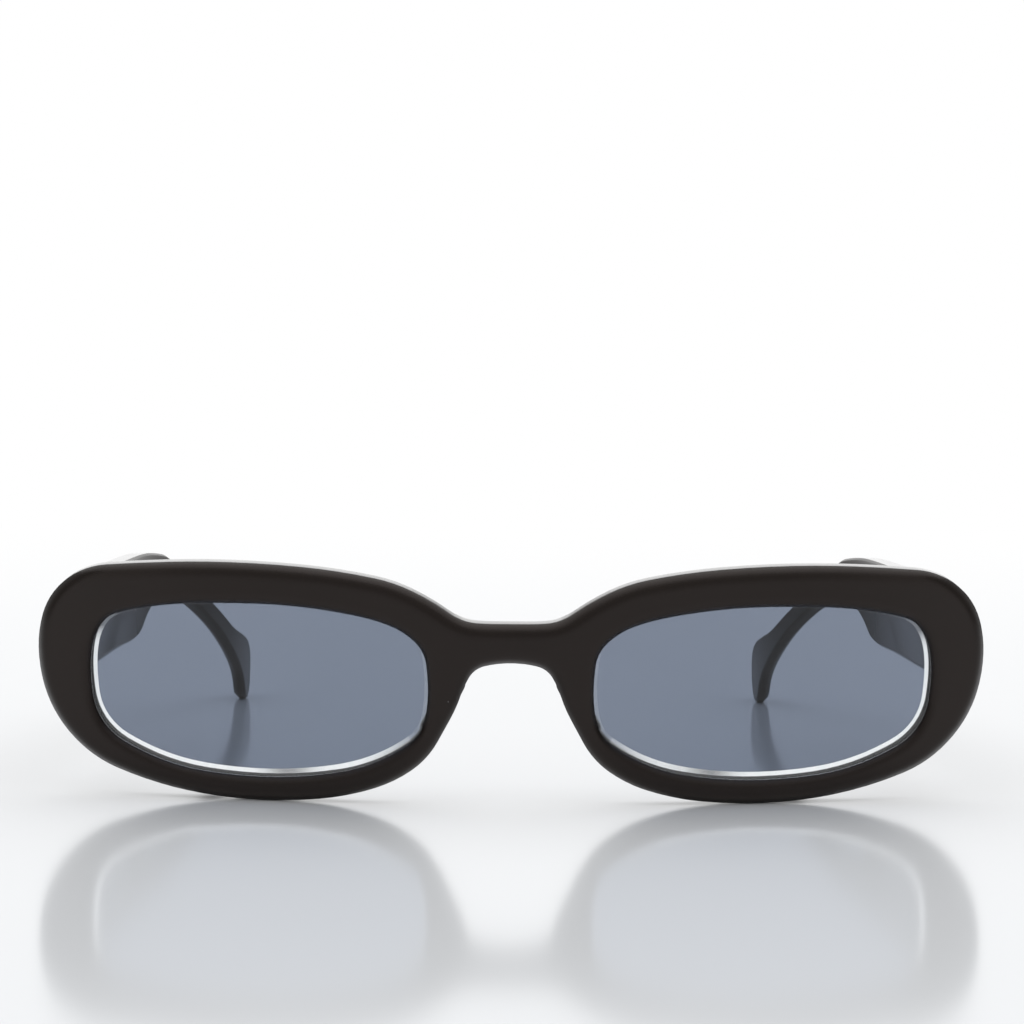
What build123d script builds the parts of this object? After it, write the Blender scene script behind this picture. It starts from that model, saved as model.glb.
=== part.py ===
from build123d import *
import math
import os

# Narrow oval-rectangle sunglasses, in millimetres. The wearer looks along -Y, so their right eye is at -X.
# The frame stands open on a table: z is 0 on the table, x is 0 on the plane of symmetry, y is 0 half way back.

# Front, seen square on
lens_width = 50.6
lens_height = 25.9
opening_gap = 24.2
rim_top = 5.94
rim_bottom = 3.65
end_width = 8.3
bridge_top = 27.2
bridge_under = 21.4

# Front, through its thickness
wrap_radius = 240
front_tilt = 5
front_thickness = 4.2
front_bevel = 1.1
front_soft_bevel = 0.35
back_bevel = 0.7
opening_front_bevel = 0.6
opening_back_bevel = 0.4

# Lens and its groove
lens_thickness = 2.2
lens_recess = 1.0
lens_seat = 0.5
lens_front_bevel = 0.5
lens_back_bevel = 1.0
lens_slope = 1.1
lens_fit = 0.05

# Moulded nose pads
pad_length = 11
pad_width = 3.4
pad_rise = 4.2
pad_taper = 8
pad_flare = 6
pad_bevel = 0.5
pad_x = 10.0
pad_height = 14.6
pad_lean = 26
pad_root = 0.8

# Hinge lug on the back of each end piece
lug_rise = 1.06
lug_step = 0.7
lug_root = 2.4
lug_bottom_share = 0.468
lug_top_share = 0.828
lug_bevel = 0.3

# Temple
temple_gap = 0.15
temple_inset = 0.8
temple_thickness = 4.0
temple_run = 118.1
temple_top_share = 0.885
tip_inset = 15.4
tip_thickness = 2.4
lean_start = 29
lean_end = 121
lean_slope = 1.5
temple_outer_bevel = 0.9
temple_inner_bevel = 0.4
toe_in = 2

# Five-barrel hinge
barrel_radius = 1.4
barrel_height = 1.6
barrel_gap = 0.06
barrel_clearance = 0.25
leaf_thickness = 1.1
front_leaf_width = 5.4
front_leaf_edge = 0.2
temple_leaf_length = 10
temple_leaf_edge = 0.6
temple_leaf_height = 5.4
web_thickness = 1.5
hinge_share = 0.676
post_side = 1.3
post_length = 1.4
post_spacing = 4.2
leaf_fit = 0.05

# Hinge screw
screw_radius = 0.6
screw_fit = 0.05
head_radius = 1.0
head_height = 0.6
head_fit = 0.06
head_stand = 0.12
slot_width = 0.3
slot_depth = 0.25

# One overrun serves every cut
overrun = 5

# Outline of one lens opening, from its outer end over the top and round: shares of its width, from the
# nose side, and of its height, with the heading there in degrees
opening_shares = [
    (1, 0.588, 90), (0.966, 0.843, 125), (0.854, 0.945, 168), (0.502, 1, 180), (0.2, 0.943, 191),
    (0.04, 0.807, 223), (0, 0.521, 270), (0.055, 0.215, 324), (0.493, 0, 360), (0.82, 0.095, 381),
    (0.964, 0.275, 415), (1, 0.588, 450),
]

# Outline of one rim from the bridge over the top, round the end and back under it to the nose: shares
# of the reach from the opening's nose side to the end, and of the front's height, with the heading
rim_shares = [
    (-0.046, 0.815, 35), (0.133, 0.949, 11), (0.5, 1, 0), (0.816, 0.969, -6), (0.942, 0.869, -45),
    (1, 0.601, -90), (0.939, 0.281, -127), (0.797, 0.105, -160), (0.424, 0, -180), (0.132, 0.068, -199),
    (-0.025, 0.272, -242), (-0.081, 0.465, -252),
]
rim_foot_share = 0.424
bridge_crown_half_share = 0.415
bridge_crown_share = 1.003
bridge_arch_half_share = 0.317
bridge_arch_share = 0.978

# Side outline of a temple from the top of its butt over the top, round the tip and forward to the step:
# shares of the temple's run from the butt and of its greatest height, with the heading
temple_shares = [
    (0, 0.918, 9), (0.465, 1, 0), (0.69, 0.972, -7), (0.757, 0.84, -40), (0.86, 0.53, -36),
    (0.952, 0.4, -16), (1, 0.215, -90), (0.951, 0, -180), (0.88, 0.226, -222), (0.765, 0.62, -219),
    (0.669, 0.73, -184), (0.513, 0.608, -154), (0.423, 0.548, -180),
]

half_gap = opening_gap / 2
rim_reach = lens_width + end_width
half_width = half_gap + rim_reach
front_height = rim_bottom + lens_height + rim_top
tilt = math.radians(front_tilt)
lug_x = half_gap + lens_width + lug_step
lug_bottom = lug_bottom_share * front_height
lug_top = lug_top_share * front_height
temple_top = temple_top_share * front_height
hinge_height = hinge_share * front_height


def back_of(x, depth):
    """How far behind the foremost line of the front its layer at this depth lies, at x from the middle."""
    return wrap_radius - math.sqrt((wrap_radius - depth) ** 2 - x ** 2)


# From front to back: the foremost line, the butt of the lugs, the root of the temples
butt_depth = back_of(half_width, front_thickness) + lug_rise
overall_depth = butt_depth + temple_gap + temple_run
front_y = -overall_depth / 2
butt_y = front_y + butt_depth
root_y = butt_y + temple_gap

# The front's own plane leans with its top forward, and its lowest line just touches the table
foot_x = half_gap + rim_foot_share * rim_reach
foot_drop = -(back_of(foot_x, 0) + front_bevel) * math.sin(tilt)
brow_y = front_y + (bridge_top - front_bevel) * math.sin(tilt)
front_plane = Plane(
    origin=(0, brow_y, foot_drop), x_dir=(1, 0, 0), z_dir=(0, -math.cos(tilt), -math.sin(tilt))
)
above_plane = Plane(origin=front_plane.origin, x_dir=(1, 0, 0), z_dir=front_plane.y_dir)
end_reach = half_width + overrun
full_depth = back_of(end_reach, front_thickness) + overrun
front_span = front_height + 2 * overrun

# Hinge pin line and the stack of barrels along it
temple_inner_x = half_width - temple_inset - temple_thickness
pin_x = temple_inner_x - barrel_radius - barrel_clearance
pin_y = butt_y + barrel_radius + barrel_clearance
barrel_pitch = barrel_height + barrel_gap
stack_height = 5 * barrel_height + 4 * barrel_gap
stack_bottom = hinge_height - stack_height / 2
stack_top = stack_bottom + stack_height


def arc_chain(stations, side):
    """Pairs of tangent arcs through stations that each give a place and a heading in degrees."""
    for (x, y, heading), (next_x, next_y, next_heading) in zip(stations, stations[1:]):
        start = Vector(side * x, y)
        end = Vector(side * next_x, next_y)
        leave = Vector(side * math.cos(math.radians(heading)), math.sin(math.radians(heading)))
        arrive = Vector(side * math.cos(math.radians(next_heading)), math.sin(math.radians(next_heading)))
        across = end - start
        spread = 2 * (1 - leave.dot(arrive))
        along = across.dot(leave + arrive)
        reach = (math.sqrt(along ** 2 + spread * across.dot(across)) - along) / spread
        joint = (start + end + (leave - arrive) * reach) / 2
        first = TangentArc(start, joint, tangent=leave)
        TangentArc(joint, end, tangent=first % 1)


def opening_sketch(side, grow):
    """The lens opening of one side, grown alike on all sides."""
    wide = lens_width + 2 * grow
    high = lens_height + 2 * grow
    stations = [
        (half_gap - grow + x_share * wide, rim_bottom - grow + y_share * high, heading)
        for x_share, y_share, heading in opening_shares
    ]
    with BuildSketch(front_plane) as opening:
        with BuildLine():
            arc_chain(stations, side)
        make_face()
    return opening.sketch


def layer_sketch(near, far, lift):
    """Seen from above: the layer between two depths behind the curved front face."""
    with BuildSketch(above_plane.offset(lift)) as layer:
        with BuildLine():
            near_end = back_of(end_reach, near)
            far_end = back_of(end_reach, far)
            ThreePointArc((-end_reach, near_end), (0, near), (end_reach, near_end))
            ThreePointArc((-end_reach, far_end), (0, far), (end_reach, far_end))
            Line((-end_reach, near_end), (-end_reach, far_end))
            Line((end_reach, near_end), (end_reach, far_end))
        make_face()
    return layer.sketch


def curved_plate(side, grow, near, far):
    """A piece of a curved sheet with the outline of one lens opening."""
    with BuildPart() as plate:
        extrude(to_extrude=opening_sketch(side, grow), amount=-full_depth)
        extrude(to_extrude=layer_sketch(near, far, -overrun), amount=front_span, mode=Mode.INTERSECT)
    return plate.part


def groove_body(side):
    near = lens_recess - lens_fit
    return curved_plate(side, lens_seat + lens_fit, near, near + lens_thickness + 2 * lens_fit)


def pad_body(side):
    """A nose pad that rises from the back of the rim, leans in with its top and flares away from the nose."""
    root = front_plane.offset(pad_root - front_thickness) * Pos(side * pad_x, pad_height)
    lean = Rot(0, 180 + side * pad_flare, 0) * Rot(0, 0, 90 - side * pad_lean)
    with BuildPart() as pad:
        with BuildSketch(root * lean):
            SlotOverall(pad_length, pad_width)
        extrude(amount=pad_root + pad_rise, taper=pad_taper)
        crest = pad.faces().sort_by(Axis(front_plane.origin, front_plane.z_dir))[0]
        chamfer(crest.edges(), pad_bevel)
    return pad.part


def front_sketch(inset):
    """The outline of the whole front, drawn in alike on all sides."""
    reach = rim_reach - inset
    high = front_height - 2 * inset
    stations = [
        (0, bridge_top - inset, 0),
        (bridge_crown_half_share * half_gap, bridge_crown_share * bridge_top - inset, 4),
        *[(half_gap + x * reach, inset + y * high, heading) for x, y, heading in rim_shares],
        (bridge_arch_half_share * half_gap, bridge_arch_share * bridge_under + inset, -194),
        (0, bridge_under + inset, -180),
    ]
    with BuildSketch(front_plane) as outline:
        with BuildLine():
            arc_chain(stations, 1)
            arc_chain(stations, -1)
        make_face()
    return outline.sketch


def curved_face(body, pick):
    """The front face (max) of a curved sheet, or the back one (min)."""
    curved = body.faces().filter_by(GeomType.CYLINDER).sort_by(SortBy.AREA)[-2:]
    return pick(curved, key=lambda one: one.radius)


def rim_edges(body, pick, inner):
    """The edges round the openings, or round the outside, of the front face (max) or of the back one (min)."""
    face = curved_face(body, pick)
    wires = face.inner_wires() if inner else [face.outer_wire()]
    return ShapeList([edge for wire in wires for edge in wire.edges()])


def barrel_sketch(side, web_x, web_y):
    """Seen from above: a barrel round the pin line and its web to a leaf at this place."""
    with BuildSketch() as barrel:
        with Locations((side * pin_x, pin_y)):
            Circle(barrel_radius)
        web_wide = max(abs(web_x - pin_x), web_thickness)
        web_long = max(abs(web_y - pin_y), web_thickness)
        with Locations((side * (pin_x + web_x) / 2, (pin_y + web_y) / 2)):
            Rectangle(web_wide, web_long)
    return barrel.sketch


def add_barrels(side, levels, web_x, web_y):
    """Adds barrels at these levels of the stack to the leaf being built, and drills them."""
    for level in levels:
        place = Plane.XY.offset(stack_bottom + level * barrel_pitch)
        extrude(to_extrude=place * barrel_sketch(side, web_x, web_y), amount=barrel_height)
    with Locations((side * pin_x, pin_y, hinge_height)):
        Cylinder(screw_radius + screw_fit, stack_height + overrun, mode=Mode.SUBTRACT)


def add_leaf(face_plane, width, height, fit):
    """Adds a leaf's plate, sunk below this plane, with two posts along its longer side."""
    wide = width > height
    with BuildSketch(face_plane) as plate:
        Rectangle(width + 2 * fit, height + 2 * fit)
    extrude(to_extrude=plate.sketch, amount=leaf_thickness)
    with BuildSketch(face_plane.offset(leaf_thickness)) as posts:
        with GridLocations(post_spacing, post_spacing, 2 if wide else 1, 1 if wide else 2):
            Rectangle(post_side + 2 * fit, post_side + 2 * fit)
    extrude(to_extrude=posts.sketch, amount=post_length)


def front_leaf_plane(side):
    """The butt face of a lug at the middle of its leaf, looking into the plastic."""
    middle = lug_x + front_leaf_edge + front_leaf_width / 2
    return Plane(origin=(side * middle, butt_y, hinge_height), x_dir=(1, 0, 0), z_dir=(0, -1, 0))


def temple_leaf_plane(side):
    """The inner face of a temple at the middle of its leaf, looking into the plastic."""
    middle = root_y + temple_leaf_edge + temple_leaf_length / 2
    return Plane(origin=(side * temple_inner_x, middle, hinge_height), x_dir=(0, 1, 0), z_dir=(side, 0, 0))


def leaf_pocket(face_plane, width, height):
    """The recess that a leaf is sunk in."""
    with BuildPart() as pocket:
        add_leaf(face_plane, width, height, leaf_fit)
    return pocket.part


def temple_slab(side):
    """A temple's thickness: straight at both ends, with a bend between them that leans with the height."""
    outer_x = temple_inner_x + temple_thickness
    tip_outer_x = outer_x - tip_inset
    slab_start = -lean_slope * temple_top - overrun
    slab_end = overall_depth + overrun
    with BuildSketch(Plane(origin=(0, front_y, 0))) as slab:
        with BuildLine():
            for root_x, tip_x in ((outer_x, tip_outer_x), (temple_inner_x, tip_outer_x - tip_thickness)):
                swing = 2 * math.degrees(math.atan((root_x - tip_x) / (lean_end - lean_start)))
                middle = ((root_x + tip_x) / 2, (lean_start + lean_end) / 2, 90 + swing)
                Line((side * root_x, slab_start), (side * root_x, lean_start))
                arc_chain([(root_x, lean_start, 90), middle, (tip_x, lean_end, 90)], side)
                Line((side * tip_x, lean_end), (side * tip_x, slab_end))
            Line((side * outer_x, slab_start), (side * temple_inner_x, slab_start))
            Line((side * tip_outer_x, slab_end), (side * (tip_outer_x - tip_thickness), slab_end))
        make_face()
    return slab.sketch


def temple_outline():
    """A temple seen from the side."""
    stations = [(x * temple_run, z * temple_top, heading) for x, z, heading in temple_shares]
    with BuildSketch(Plane(origin=(0, root_y, 0), x_dir=(0, 1, 0), z_dir=(1, 0, 0))) as outline:
        with BuildLine():
            arc_chain(stations, 1)
            Line(stations[-1][:2], (0, lug_bottom))
            Line((0, lug_bottom), stations[0][:2])
        make_face()
    return outline.sketch


def skin_edges(body, facing):
    """The edges all round the faces of a temple that look this way along X, but for those at its butt."""
    skin = [face for face in body.faces() if face.normal_at().X * facing > math.cos(math.pi / 4)]
    edges = [edge for face in skin for edge in face.edges() if edge.center().Y > root_y + temple_gap]
    return [edge for edge in edges if sum(edge.is_same(other) for other in edges) == 1]


def temple_leaf_body(side):
    """The leaf of a temple, in line with its own side of the front."""
    with BuildPart() as leaf:
        add_leaf(temple_leaf_plane(side), temple_leaf_length, temple_leaf_height, 0)
        add_barrels(side, (1, 3), temple_inner_x + leaf_thickness / 2, pin_y)
    return leaf.part


def temple_body(side):
    """A whole temple, its leaf pocket included, in line with its own side of the front."""
    lean_reach = math.hypot(lean_slope, 1)
    with BuildPart() as temple:
        extrude(to_extrude=temple_slab(side), amount=(temple_top + overrun) * lean_reach, dir=(0, lean_slope, 1))
        extrude(to_extrude=temple_outline(), amount=half_width + overrun, both=True, mode=Mode.INTERSECT)
        chamfer(skin_edges(temple, side), temple_outer_bevel)
        chamfer(skin_edges(temple, -side), temple_inner_bevel)
        add(leaf_pocket(temple_leaf_plane(side), temple_leaf_length, temple_leaf_height), mode=Mode.SUBTRACT)
    return temple.part


# Hinge lugs: set in by the front's bevelled back edge, so that they rise from its flat back
with BuildPart() as lugs:
    extrude(to_extrude=front_sketch(back_bevel), amount=-full_depth)
    lug_base = above_plane.offset(lug_bottom)
    with BuildSketch(lug_base) as lug_ends:
        add(lug_base.to_local_coords(layer_sketch(lug_root, full_depth, lug_bottom)))
        Rectangle(2 * lug_x, 6 * full_depth, mode=Mode.SUBTRACT)
    extrude(to_extrude=lug_ends.sketch, amount=lug_top - lug_bottom, mode=Mode.INTERSECT)
    split(bisect_by=Plane(origin=(0, butt_y, 0), z_dir=(0, -1, 0)), keep=Keep.TOP)
    butt_faces = lugs.faces().filter_by(Axis.Y).sort_by(Axis.Y)[-2:]
    chamfer(butt_faces.edges(), lug_bevel)

# Front: outline pushed back, cut to a curved layer and bevelled, with a lug and a nose pad added on each side
with BuildPart() as frame_front:
    extrude(to_extrude=front_sketch(0), amount=-full_depth)
    front_layer = layer_sketch(0, front_thickness, -overrun)
    extrude(to_extrude=front_layer, amount=front_span, mode=Mode.INTERSECT)
    for side in (-1, 1):
        extrude(to_extrude=opening_sketch(side, 0), amount=-full_depth, mode=Mode.SUBTRACT)
    chamfer(rim_edges(frame_front, min, False), back_bevel)
    chamfer(rim_edges(frame_front, min, True), opening_back_bevel)
    chamfer(rim_edges(frame_front, max, True), opening_front_bevel)
    chamfer(rim_edges(frame_front, max, False), front_bevel)
    chamfer(rim_edges(frame_front, max, False), front_soft_bevel)
    add(lugs.part)
    for side in (-1, 1):
        add(pad_body(side))
    for side in (-1, 1):
        add(groove_body(side), mode=Mode.SUBTRACT)
        add(leaf_pocket(front_leaf_plane(side), front_leaf_width, stack_height), mode=Mode.SUBTRACT)

os.makedirs("parts", exist_ok=True)
frame_front.part.label = "frame_front"
export_step(frame_front.part, "parts/frame_front.step")

# The wearer's right is at -X. The left temple was photographed a little folded in, about its own hinge
side_names = {-1: "right", 1: "left"}
toe_angles = {-1: 0, 1: toe_in}
for side, side_name in side_names.items():
    pin_line = Axis((side * pin_x, pin_y, 0), (0, 0, 1))

    # Lens, with a V-edge all round that slopes further in on its back
    with BuildPart() as lens:
        add(curved_plate(side, lens_seat, lens_recess, lens_recess + lens_thickness))
        chamfer(rim_edges(lens, max, False), lens_front_bevel)
        chamfer(rim_edges(lens, min, False), lens_slope, lens_back_bevel, reference=curved_face(lens, min))
    lens.part.label = "lens_" + side_name
    export_step(lens.part, "parts/" + lens.part.label + ".step")

    # Temple
    with BuildPart() as temple:
        add(temple_body(side).rotate(pin_line, toe_angles[side]))
    temple.part.label = "temple_" + side_name
    export_step(temple.part, "parts/" + temple.part.label + ".step")

    # Front leaf, with three barrels and a seat for the screw's head in the top one
    with BuildPart() as front_leaf:
        add_leaf(front_leaf_plane(side), front_leaf_width, stack_height, 0)
        add_barrels(side, (0, 2, 4), pin_x, butt_y - leaf_thickness / 2)
        with Locations((side * pin_x, pin_y, stack_top + head_stand - head_height)):
            seat_align = (Align.CENTER, Align.CENTER, Align.MIN)
            Cylinder(head_radius + head_fit, head_height, align=seat_align, mode=Mode.SUBTRACT)
    front_leaf.part.label = "front_hinge_leaf_" + side_name
    export_step(front_leaf.part, "parts/" + front_leaf.part.label + ".step")

    # Temple leaf, with two barrels between those of the front
    with BuildPart() as temple_leaf:
        add(temple_leaf_body(side).rotate(pin_line, toe_angles[side]))
    temple_leaf.part.label = "temple_hinge_leaf_" + side_name
    export_step(temple_leaf.part, "parts/" + temple_leaf.part.label + ".step")

    # Screw, turned, with a slot across its head
    with BuildPart() as screw:
        with BuildSketch(Plane(origin=(side * pin_x, pin_y, stack_bottom))):
            Circle(screw_radius)
        extrude(amount=stack_height + head_stand - head_height)
        with BuildSketch(Plane(origin=(side * pin_x, pin_y, stack_top + head_stand - head_height))):
            Circle(head_radius)
        extrude(amount=head_height)
        with BuildSketch(Plane(origin=(side * pin_x, pin_y, stack_top + head_stand))):
            Rectangle(2 * head_radius, slot_width)
        extrude(amount=-slot_depth, mode=Mode.SUBTRACT)
    screw.part.label = "hinge_screw_" + side_name
    export_step(screw.part, "parts/" + screw.part.label + ".step")
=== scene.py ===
import math

import bpy
from mathutils import Matrix, Vector


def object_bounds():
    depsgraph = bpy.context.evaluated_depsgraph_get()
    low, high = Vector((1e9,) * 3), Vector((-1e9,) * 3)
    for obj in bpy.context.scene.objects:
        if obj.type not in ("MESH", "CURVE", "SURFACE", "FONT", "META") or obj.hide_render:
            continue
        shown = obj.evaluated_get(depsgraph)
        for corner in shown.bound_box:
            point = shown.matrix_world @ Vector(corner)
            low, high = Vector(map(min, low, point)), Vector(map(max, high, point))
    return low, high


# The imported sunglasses, in metres: the front faces -Y, and the temples run back along +Y
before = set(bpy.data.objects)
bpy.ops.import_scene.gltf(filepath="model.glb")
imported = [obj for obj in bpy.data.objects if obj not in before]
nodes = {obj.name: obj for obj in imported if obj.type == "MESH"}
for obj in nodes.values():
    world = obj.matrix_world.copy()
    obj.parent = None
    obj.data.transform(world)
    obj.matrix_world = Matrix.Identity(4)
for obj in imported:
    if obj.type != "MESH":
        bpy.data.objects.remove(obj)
cad_low, cad_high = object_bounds()

WHITE = (1, 1, 1, 1)

# Camera, as the photograph was taken: pixels of a 1024-pixel-wide picture, radians, metres,
# and the usual 36 mm wide sensor
PICTURE_WIDTH = 1024
FOCAL_PIXELS = 2408
HORIZON_ABOVE_MIDDLE = 109
CAMERA_DISTANCE = 0.3484
CAMERA_HEIGHT = 0.059
CAMERA_ROLL = math.radians(0.39)
CAMERA_CLIP = (0.01, 50)
SENSOR_WIDTH = 36

# Plastic: its darkest and palest tone, the tint and index of its gloss, and the scale of its blotches and
# the roughness that they add
PLASTIC_TONES = ((0.009, 0.006, 0.0044), (0.0114, 0.0078, 0.006))
PLASTIC_GLOSS = (0.68, 0.61, 0.59, 1)
PLASTIC_IOR = 1.49
BLOTCH_SCALE = 60
BLOTCH_ROUGHNESS = 0.06

# Softening of the moulded edges of the front and of the temples
FRONT_EDGE = 0.0018
TEMPLE_EDGE = 0.0009
EDGE_SAMPLES = 8

# Fine grain of the plastic
GRAIN_SCALE = 9000
GRAIN_DEPTH = 0.00002
GRAIN_STRENGTH = 0.12

# Dust: its colour, how fine its cells are, where a speck ends inside its cell and where it is full, the
# share of cells that hold a speck anywhere, how many more do in the upper outer corner of the left rim,
# and where that corner begins and is full
DUST_COLOUR = (0.2, 0.2, 0.21, 1)
DUST_SCALE = 550
SPECK_END = (0.075, 0.045)
STRAY_DUST = 0.012
CORNER_DUST = 0.12
CORNER_ACROSS = (0.03, 0.05)
CORNER_UP = (0.022, 0.03)

# Plastic that looks up is shinier: the share of its roughness that it loses, the roughness of its gloss
# coat, and the upward part of a normal where the front's and the temples' shine begins and where both
# are full
TOP_SMOOTHING = 0.5
COAT_ROUGHNESS = 0.08
FRONT_SHINE_FROM = 0.8
TEMPLE_SHINE_FROM = 0.65
FULL_SHINE = 0.97

# Roughness of the front, and of the temples before and behind the places where theirs changes
FRONT_ROUGHNESS = (0.15, 0.15)
TEMPLE_ROUGHNESS = (0.03, 0.3)
POLISH_FADE = (-0.03, 0.02)

# Lens: what its back face lets through where deepest and where thinnest, the scale of those clouds, and
# the index and roughness of its mirroring
LENS_TINTS = ((0.188, 0.221, 0.286), (0.197, 0.23, 0.297))
LENS_SCALE = 25
LENS_IOR = 1.5
LENS_ROUGHNESS = 0.02

# The front's curve and lean, and the least squareness of a lens's faces; its edge slopes are under it
WRAP_RADIUS = 0.2385
FRONT_TILT = math.radians(5)
FACE_SQUARENESS = 0.93

# Ground slope of a lens's edge: its whites, the scale of its streaks, its roughness and index, and the
# share of it that bends light
FROST_WHITES = ((0.9, 0.94, 0.96), (0.96, 0.98, 1))
FROST_SCALE = 900
GROUND_ROUGHNESS = 0.25
GROUND_IOR = 1.3
GROUND_SHARE = 0.85

# Painted highlight on the lens slopes: how far a slope leans down or away from the nose, where light
# falls, where its painted white begins and is full, and how much of that white shows along the shaded top
# and the nose
PAINTED_LIT_LEAN = (-0.15, 0.35)
SHADED_SLOPE_WHITE = 0.15

# Metal: how fine its lines are, the dark ones' share of the pale ones' tone, and how many times as rough
# the pale ones are; then the tone, roughness and stretch of the noise of the leaves and of the screws
LINE_SCALE = 3000
LINE_DARKNESS = 0.8
LINE_ROUGHNESS = 1.4
LEAF_METAL = ((0.56, 0.56, 0.57), 0.3, (1, 8, 1))
SCREW_METAL = ((0.62, 0.62, 0.62), 0.22, (1, 1, 10))

# Table top: its tones and the scale of their clouds, the roughness and index of its gloss, and half its
# width
TABLE_TONES = ((0.895, 0.915, 0.94), (0.905, 0.925, 0.95))
TABLE_SCALE = 1.5
TABLE_ROUGHNESS = 0.12
TABLE_IOR = 1.9
TABLE_REACH = 6

# The table top goes over into white between these distances, behind the object and all round it
FADE_BEHIND = (0.1, 0.7)
FADE_AROUND = (0.25, 1.2)

# The studio's light: its levels in front and behind, and the Y of the directions between which it rises
STUDIO_LEVELS = (0.42, 1.0)
STUDIO_RISE = (-1, 0.8)

# How much darker the studio is beside the object than behind it, and how much brighter it is at the
# front's two sides than straight in front; then where these begin and are full, by a direction's sideways
# part, and where the front does, by its Y
SIDE_DIMMING = 0.6
FRONT_GLOW = 0.9
DIM_ASIDE = (0.2, 0.6)
GLOW_ASIDE = (0.45, 0.8)
AHEAD = (-0.3, -0.8)

# Wide soft lamp over the object
LAMP_PLACE = (0, 0.2, 1.2)
LAMP_SIZE = 2.4
LAMP_POWER = 14.5


class Graph:
    """The shader nodes of a material or a world, with short ways to add to them."""

    def __init__(self, owner):
        owner.use_nodes = True
        self.nodes = owner.node_tree.nodes
        self.links = owner.node_tree.links
        self.nodes.clear()

    def feed(self, socket, value):
        """Gives a socket its value, or links it to another node's output."""
        if isinstance(value, bpy.types.NodeSocket):
            self.links.new(value, socket)
        else:
            socket.default_value = value

    def add(self, kind, **inputs):
        """A node, with some of its sockets fed."""
        node = self.nodes.new(kind)
        for socket, value in inputs.items():
            self.feed(node.inputs[socket.replace("_", " ")], value)
        return node

    def place(self, output="Object"):
        """The object's own coordinates in metres, or its normals, or a world's directions."""
        return self.add("ShaderNodeTexCoord").outputs[output]

    def split(self, output, axis):
        """One coordinate of a place or direction."""
        return self.add("ShaderNodeSeparateXYZ", Vector=self.place(output)).outputs[axis]

    def maths(self, operation, first, second=0):
        """A calculation with one or two values."""
        node = self.add("ShaderNodeMath")
        node.operation = operation
        self.feed(node.inputs[0], first)
        self.feed(node.inputs[1], second)
        return node.outputs[0]

    def times(self, first, second):
        """The product of two values."""
        return self.maths("MULTIPLY", first, second)

    def rest(self, value):
        """What a value leaves of 1."""
        return self.maths("SUBTRACT", 1, value)

    def vector_maths(self, operation, *vectors):
        """A calculation with one or two vectors that gives a number."""
        node = self.add("ShaderNodeVectorMath")
        node.operation = operation
        for socket, vector in zip(node.inputs, vectors):
            self.feed(socket, vector)
        return node.outputs["Value"]

    def band(self, value, low, high):
        """Rises softly from 0 to 1 as a value goes from low to high."""
        node = self.add("ShaderNodeMapRange", Value=value, From_Min=low, From_Max=high)
        node.interpolation_type = "SMOOTHSTEP"
        return node.outputs["Result"]

    def noise(self, scale, detail=2, stretch=(1, 1, 1)):
        """Noise over the object's own coordinates."""
        mapping = self.add("ShaderNodeMapping", Vector=self.place(), Scale=stretch)
        texture = self.add("ShaderNodeTexNoise", Scale=scale, Detail=detail)
        self.feed(texture.inputs["Vector"], mapping.outputs["Vector"])
        return texture.outputs["Fac"]

    def ramp(self, value, colours, places=(0.3, 0.7)):
        """Goes from the first colour to the second as a value goes between two places."""
        node = self.add("ShaderNodeValToRGB", Fac=value)
        for element, colour, place in zip(node.color_ramp.elements, colours, places):
            element.position = place
            element.color = (*colour, 1)
        return node.outputs["Color"]

    def mix_colours(self, share, first, second):
        """One colour, with a share of another."""
        node = self.nodes.new("ShaderNodeMix")
        node.data_type = "RGBA"
        for socket, value in (("Factor", share), ("A", first), ("B", second)):
            self.feed(node.inputs[socket], value)
        return node.outputs["Result"]

    def mix_shaders(self, share, first, second):
        """One shader, with a share of another."""
        node = self.add("ShaderNodeMixShader", Fac=share)
        self.feed(node.inputs[1], first)
        self.feed(node.inputs[2], second)
        return node.outputs["Shader"]


def specks(graph):
    """1 on stray specks of dust: a few anywhere, more on the upper outer part of the left rim."""
    cells = graph.add("ShaderNodeTexVoronoi", Vector=graph.place(), Scale=DUST_SCALE)
    near = graph.band(cells.outputs["Distance"], *SPECK_END)
    pick = graph.add("ShaderNodeSeparateColor", Color=cells.outputs["Color"]).outputs["Red"]
    outer = graph.band(graph.split("Object", "X"), *CORNER_ACROSS)
    upper = graph.band(graph.split("Object", "Z"), *CORNER_UP)
    corner = graph.times(graph.times(outer, upper), CORNER_DUST)
    chosen = graph.maths("LESS_THAN", pick, graph.maths("ADD", corner, STRAY_DUST))
    return graph.times(near, chosen)


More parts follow.
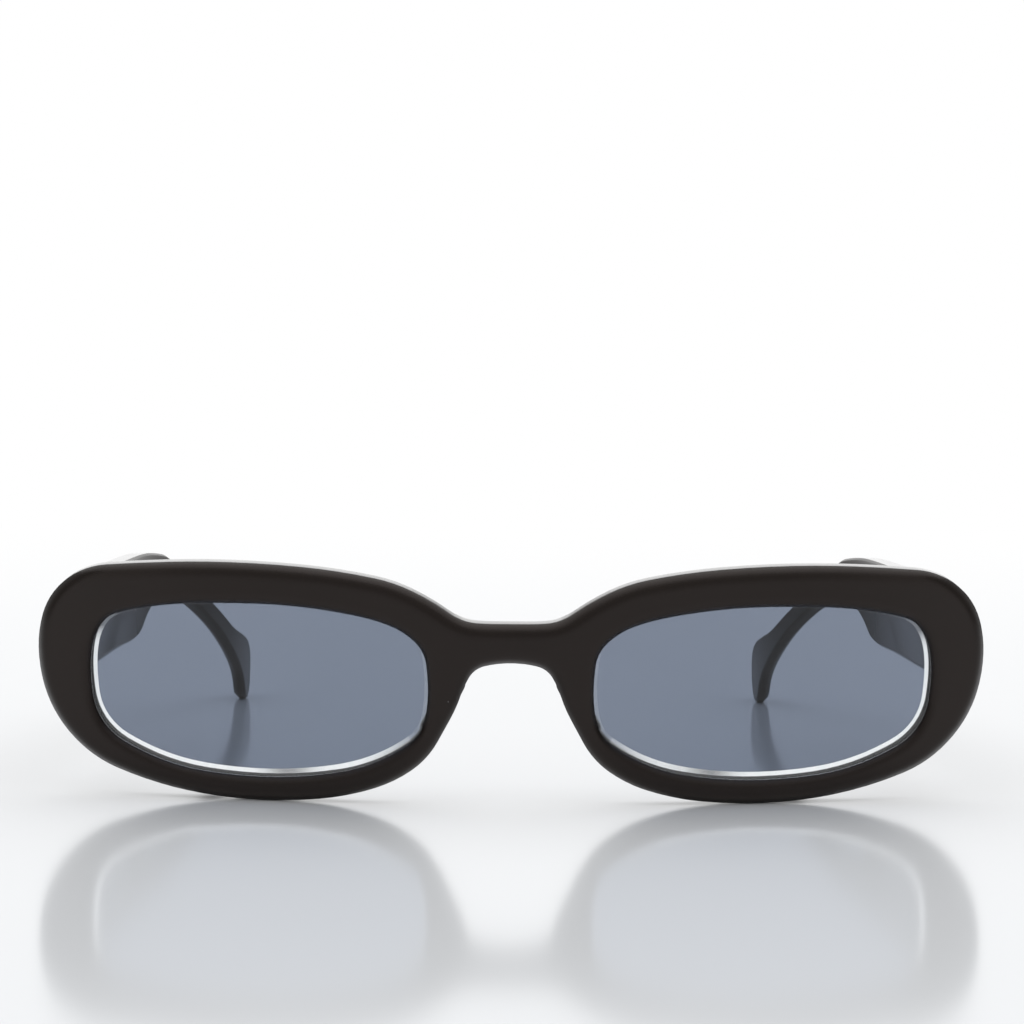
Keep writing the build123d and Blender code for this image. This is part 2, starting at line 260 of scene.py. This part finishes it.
def moulded_plastic(name, edge, roughness, shine_from):
    """Near-black brown moulded plastic: matte, shinier on top, finely grained, with stray dust."""
    material = bpy.data.materials.new(name)
    graph = Graph(material)
    blotches = graph.noise(BLOTCH_SCALE, detail=3)
    tone = graph.ramp(blotches, PLASTIC_TONES)
    colour = graph.mix_colours(specks(graph), tone, DUST_COLOUR)

    soft = graph.add("ShaderNodeBevel", Radius=edge)
    soft.samples = EDGE_SAMPLES
    bump = graph.add(
        "ShaderNodeBump", Strength=GRAIN_STRENGTH, Distance=GRAIN_DEPTH,
        Height=graph.noise(GRAIN_SCALE), Normal=soft.outputs["Normal"])

    before, behind = roughness
    change = graph.times(graph.band(graph.split("Object", "Y"), *POLISH_FADE), behind - before)
    rough = graph.maths("ADD", change, before)
    rough = graph.maths("ADD", rough, graph.times(blotches, BLOTCH_ROUGHNESS))
    upward = graph.band(graph.split("Normal", "Z"), shine_from, FULL_SHINE)
    smoother = graph.rest(graph.times(upward, TOP_SMOOTHING))

    shader = graph.add(
        "ShaderNodeBsdfPrincipled", Base_Color=colour, Roughness=graph.times(rough, smoother),
        IOR=PLASTIC_IOR, Specular_Tint=PLASTIC_GLOSS, Normal=bump.outputs["Normal"],
        Coat_Weight=upward, Coat_Roughness=COAT_ROUGHNESS)
    graph.add("ShaderNodeOutputMaterial", Surface=shader.outputs["BSDF"])
    return material


def squareness(graph):
    """How squarely a normal looks back from the curved front: 1 on a lens's back, -1 on its front."""
    across = graph.maths("DIVIDE", graph.split("Object", "X"), -WRAP_RADIUS)
    back = graph.maths("SQRT", graph.rest(graph.times(across, across)))
    level, lift = (graph.times(back, part) for part in (math.cos(FRONT_TILT), math.sin(FRONT_TILT)))
    axis = graph.add("ShaderNodeCombineXYZ", X=across, Y=level, Z=lift)
    return graph.vector_maths("DOT_PRODUCT", graph.place("Normal"), axis.outputs["Vector"])


def painted_lit_side(graph, outward):
    """Painted light on the lens slopes: 1 on those that look down or away from the nose, where light
    falls, and faint on the shaded others.
    """
    side = graph.maths("SIGN", graph.split("Object", "X"))
    away = graph.times(graph.split("Normal", "X"), side)
    lean = graph.maths("SUBTRACT", away, graph.split("Normal", "Z"))
    lit = graph.band(graph.times(lean, outward), *PAINTED_LIT_LEAN)
    return graph.maths("MAXIMUM", lit, SHADED_SLOPE_WHITE)


def tinted_glass(graph, back, inside):
    """Glass that tints what passes its back face, and mirrors a little on its outside."""
    tint = graph.ramp(graph.noise(LENS_SCALE), LENS_TINTS)
    colour = graph.mix_colours(back, WHITE, tint)
    clear = graph.add("ShaderNodeBsdfTransparent", Color=colour)
    gloss = graph.add("ShaderNodeBsdfGlossy", Roughness=LENS_ROUGHNESS)
    fresnel = graph.add("ShaderNodeFresnel", IOR=LENS_IOR).outputs["Fac"]
    mirrored = graph.times(fresnel, graph.rest(inside))
    return graph.mix_shaders(mirrored, clear.outputs["BSDF"], gloss.outputs["BSDF"])


def ground_glass(graph):
    """Milky white glass with fine streaks, which bends the light from behind it."""
    white = graph.ramp(graph.noise(FROST_SCALE, detail=4), FROST_WHITES)
    frosted = graph.add("ShaderNodeBsdfDiffuse", Color=white)
    bent = graph.add(
        "ShaderNodeBsdfRefraction", Color=white, Roughness=GROUND_ROUGHNESS, IOR=GROUND_IOR)
    return graph.mix_shaders(GROUND_SHARE, frosted.outputs["BSDF"], bent.outputs["BSDF"])


def lens_tint():
    """Grey-blue lens, tinted on its back face, with a frosted slope on the back of its rim, painted white
    where it is lit.
    """
    material = bpy.data.materials.new("lens_tint")
    graph = Graph(material)
    inside = graph.add("ShaderNodeNewGeometry").outputs["Backfacing"]
    # Normals come turned round where a ray meets a face from inside the lens
    outward = graph.rest(graph.times(inside, 2))
    facing = graph.times(squareness(graph), outward)
    back = graph.maths("GREATER_THAN", facing, 0)
    sloping = graph.maths("LESS_THAN", facing, FACE_SQUARENESS)
    # Painted light: the slope turns frosted white in full only where it looks down or away from the nose,
    # where light falls on it
    slope = graph.times(graph.times(back, sloping), painted_lit_side(graph, outward))
    whole = graph.mix_shaders(slope, tinted_glass(graph, back, inside), ground_glass(graph))
    graph.add("ShaderNodeOutputMaterial", Surface=whole)
    return material


def satin_metal(name, tone, roughness, stretch):
    """Bare metal with a fine brushed or turned grain."""
    material = bpy.data.materials.new(name)
    graph = Graph(material)
    lines = graph.noise(LINE_SCALE, detail=3, stretch=stretch)
    dark = tuple(LINE_DARKNESS * channel for channel in tone)
    colour = graph.ramp(lines, (dark, tone), places=(0.35, 0.65))
    rough = graph.ramp(lines, ((roughness,) * 3, (LINE_ROUGHNESS * roughness,) * 3))
    shader = graph.add("ShaderNodeBsdfPrincipled", Metallic=1, Base_Color=colour, Roughness=rough)
    graph.add("ShaderNodeOutputMaterial", Surface=shader.outputs["BSDF"])
    return material


def table_material():
    """Glossy white table top that mirrors the object softly, and goes over into the white around it."""
    material = bpy.data.materials.new("table_top")
    graph = Graph(material)
    tone = graph.ramp(graph.noise(TABLE_SCALE), TABLE_TONES)
    shader = graph.add(
        "ShaderNodeBsdfPrincipled", Base_Color=tone, Roughness=TABLE_ROUGHNESS, IOR=TABLE_IOR)
    behind = graph.band(graph.split("Object", "Y"), *FADE_BEHIND)
    around = graph.band(graph.vector_maths("LENGTH", graph.place()), *FADE_AROUND)
    camera_ray = graph.add("ShaderNodeLightPath").outputs["Is Camera Ray"]
    seen = graph.times(graph.maths("MAXIMUM", behind, around), camera_ray)
    white = graph.add("ShaderNodeEmission", Color=WHITE, Strength=1)
    whole = graph.mix_shaders(seen, shader.outputs["BSDF"], white.outputs["Emission"])
    graph.add("ShaderNodeOutputMaterial", Surface=whole)
    return material


def make_table():
    """A wide table top under the object."""
    mesh = bpy.data.meshes.new("table_top")
    corners = [(x * TABLE_REACH, y * TABLE_REACH, 0) for x, y in ((-1, -1), (1, -1), (1, 1), (-1, 1))]
    mesh.from_pydata(corners, [], [(0, 1, 2, 3)])
    table = bpy.data.objects.new("table_top", mesh)
    bpy.context.collection.objects.link(table)
    mesh.materials.append(table_material())


def make_lamp():
    """A square soft light aimed at the middle of the object's foot."""
    light = bpy.data.lights.new("top_light", "AREA")
    light.size = LAMP_SIZE
    light.energy = LAMP_POWER
    lamp = bpy.data.objects.new("top_light", light)
    lamp.location = LAMP_PLACE
    lamp.rotation_mode = "QUATERNION"
    lamp.rotation_quaternion = (-Vector(LAMP_PLACE)).to_track_quat("-Z", "Y")
    bpy.context.collection.objects.link(lamp)


def studio_level(graph):
    """The studio's light by direction: brightest behind, dim beside, and a glow at the front's sides."""
    along = graph.split("Generated", "Y")
    aside = graph.maths("ABSOLUTE", graph.split("Generated", "X"))
    (start, end), (front, back) = STUDIO_RISE, STUDIO_LEVELS
    depth = graph.add(
        "ShaderNodeMapRange", Value=along, From_Min=start, From_Max=end, To_Min=front, To_Max=back)
    ahead = graph.band(along, *AHEAD)
    dim = graph.times(graph.band(aside, *DIM_ASIDE), graph.rest(ahead))
    bright = graph.times(graph.band(aside, *GLOW_ASIDE), ahead)
    glow = graph.maths("ADD", graph.times(bright, FRONT_GLOW), 1)
    sides = graph.maths("SUBTRACT", glow, graph.times(dim, SIDE_DIMMING))
    return graph.times(depth.outputs["Result"], sides)


def make_world():
    """White for the eye; for the light, a plain pale studio, brighter behind and above than in front."""
    world = bpy.data.worlds.new("studio")
    bpy.context.scene.world = world
    graph = Graph(world)
    pale = graph.add("ShaderNodeBackground", Color=WHITE, Strength=studio_level(graph))
    white = graph.add("ShaderNodeBackground", Color=WHITE, Strength=1)
    camera_ray = graph.add("ShaderNodeLightPath").outputs["Is Camera Ray"]
    whole = graph.mix_shaders(camera_ray, pale.outputs["Background"], white.outputs["Background"])
    graph.add("ShaderNodeOutputWorld", Surface=whole)


def make_camera():
    """The camera at the photograph's place, tipped down and rolled as it was."""
    data = bpy.data.cameras.new("camera")
    data.sensor_width = SENSOR_WIDTH
    data.lens = FOCAL_PIXELS / PICTURE_WIDTH * SENSOR_WIDTH
    data.clip_start, data.clip_end = CAMERA_CLIP
    camera = bpy.data.objects.new("camera", data)
    pitch = math.atan(HORIZON_ABOVE_MIDDLE / FOCAL_PIXELS)
    place = Matrix.Translation((0, cad_low.y - CAMERA_DISTANCE, CAMERA_HEIGHT))
    turn = Matrix.Rotation(math.pi / 2 - pitch, 4, "X") @ Matrix.Rotation(CAMERA_ROLL, 4, "Z")
    camera.matrix_world = place @ turn
    bpy.context.collection.objects.link(camera)
    bpy.context.scene.camera = camera


# Each node takes the finish of the first word here that is in its name
finishes = {
    "lens": lens_tint(),
    "screw": satin_metal("screw_metal", *SCREW_METAL),
    "leaf": satin_metal("hinge_metal", *LEAF_METAL),
    "temple": moulded_plastic("temple_plastic", TEMPLE_EDGE, TEMPLE_ROUGHNESS, TEMPLE_SHINE_FROM),
    "front": moulded_plastic("front_plastic", FRONT_EDGE, FRONT_ROUGHNESS, FRONT_SHINE_FROM),
}
for name, node in nodes.items():
    finish = next(finishes[word] for word in finishes if word in name)
    node.data.materials.clear()
    node.data.materials.append(finish)

make_table()
make_world()
make_lamp()
make_camera()
bpy.context.scene.view_settings.view_transform = "Standard"
